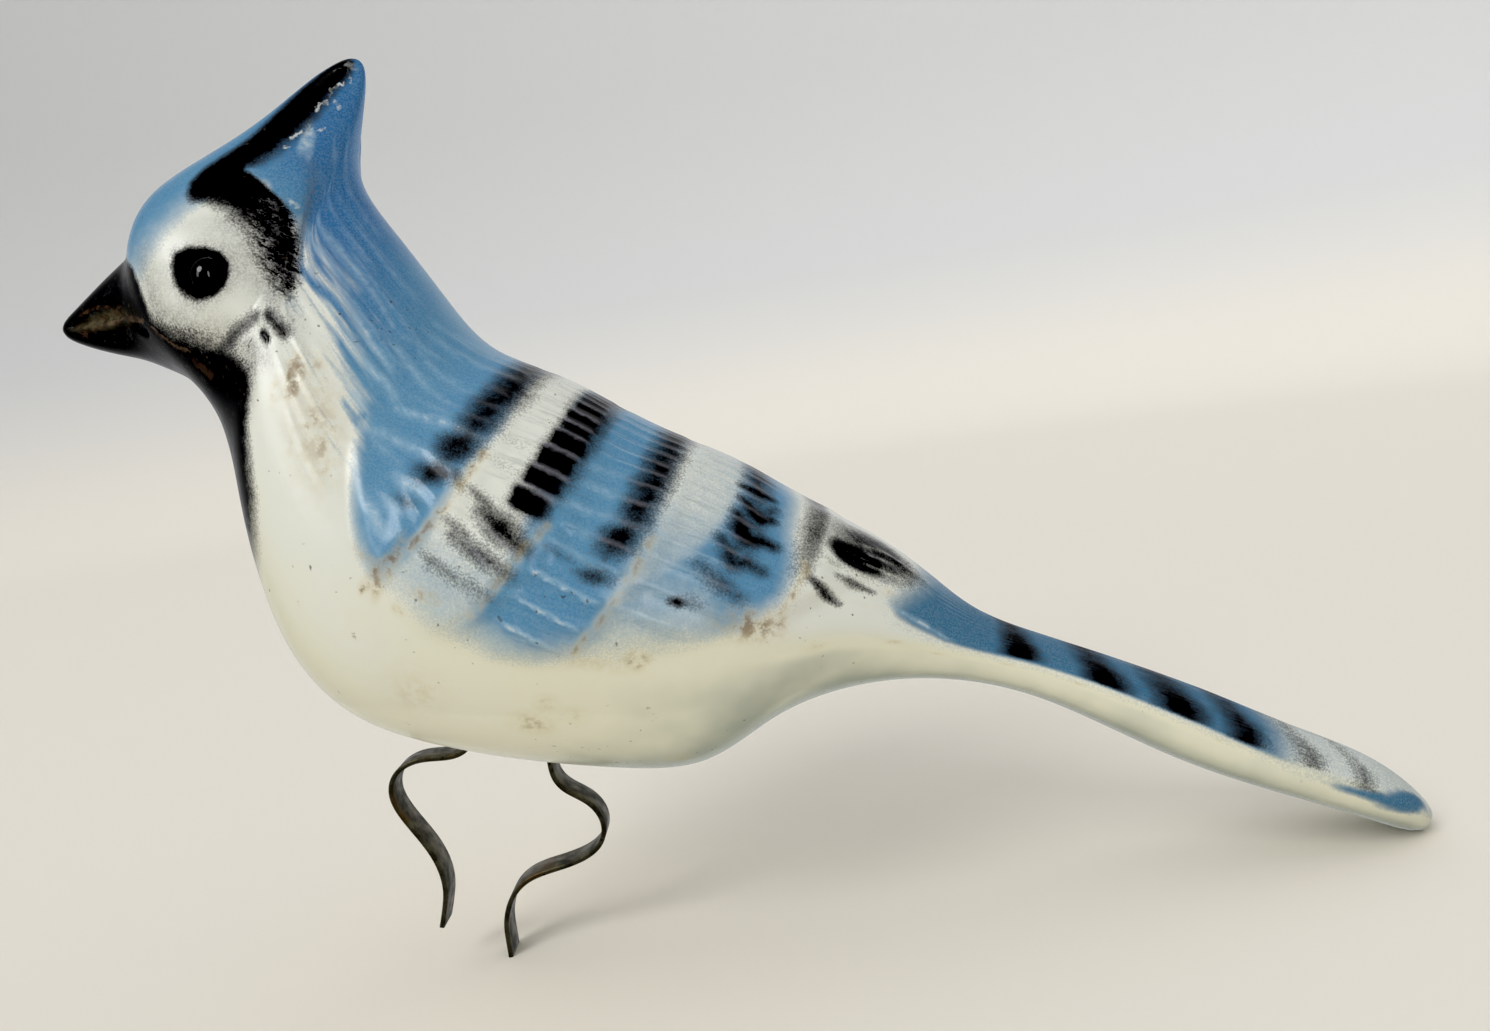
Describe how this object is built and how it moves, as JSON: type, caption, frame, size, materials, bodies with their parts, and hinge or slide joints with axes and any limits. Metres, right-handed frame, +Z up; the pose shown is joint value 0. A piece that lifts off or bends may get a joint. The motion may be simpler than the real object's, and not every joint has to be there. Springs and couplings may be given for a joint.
{
  "type": "ceramic clip-on bird",
  "caption": "Glazed ceramic crested bird with banded blue wings and a long tail; bent spring steel strips under its belly clip it onto a branch.",
  "frame": {"origin": "on the table under the middle of the bird's bounding box", "axes": "+X towards the tail, so the beak is at -X, +Y across the bird, +Z up as the bird stands on its rear strip and tail tip"},
  "size_m": [0.2125, 0.0626, 0.1495],
  "materials": {
    "glaze": "gloss",
    "spring_steel": "satin"
  },
  "bodies": {
    "root": {"bird": "glaze", "front_clip_strip": "spring_steel", "rear_clip_strip": "spring_steel"}
  },
  "joints": []
}
